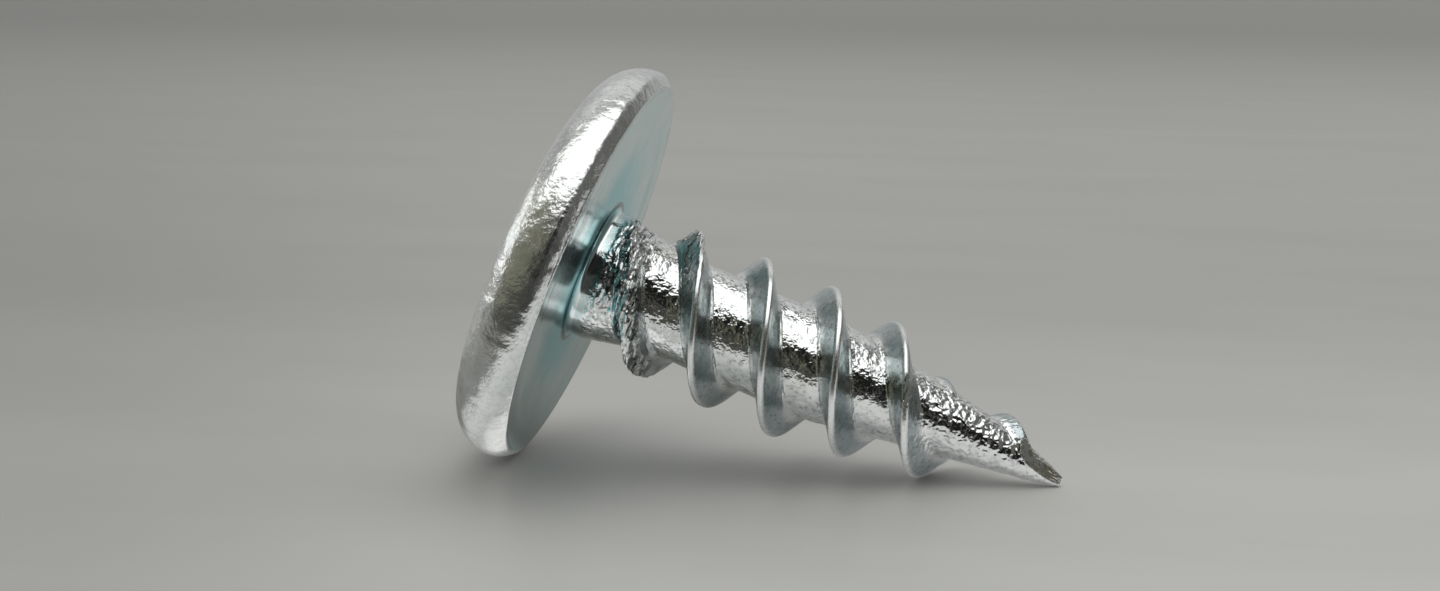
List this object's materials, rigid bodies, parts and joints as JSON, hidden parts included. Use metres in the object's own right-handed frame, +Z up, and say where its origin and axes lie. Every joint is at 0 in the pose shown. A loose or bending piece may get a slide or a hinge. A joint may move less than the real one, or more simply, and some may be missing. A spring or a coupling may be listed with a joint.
{
  "type": "wafer head screw",
  "caption": "Short self-tapping screw with a wide, low domed head, a cross recess, a coarse right-hand thread and a pinched point, for fixing thin sheet.",
  "frame": {"origin": "middle of the resting screw's footprint box, on the table that it lies on", "axes": "+Z up from the table, +X from the head towards the tip along the table; the screw's axis lies in the XZ plane"},
  "size_m": [0.0156, 0.0108, 0.0104],
  "materials": {
    "zinc_plate": "bright zinc plate with a blue-clear passivate over cold-formed carbon steel, with forging dimples and pits"
  },
  "bodies": {
    "root": {"screw": "zinc_plate"}
  },
  "joints": []
}
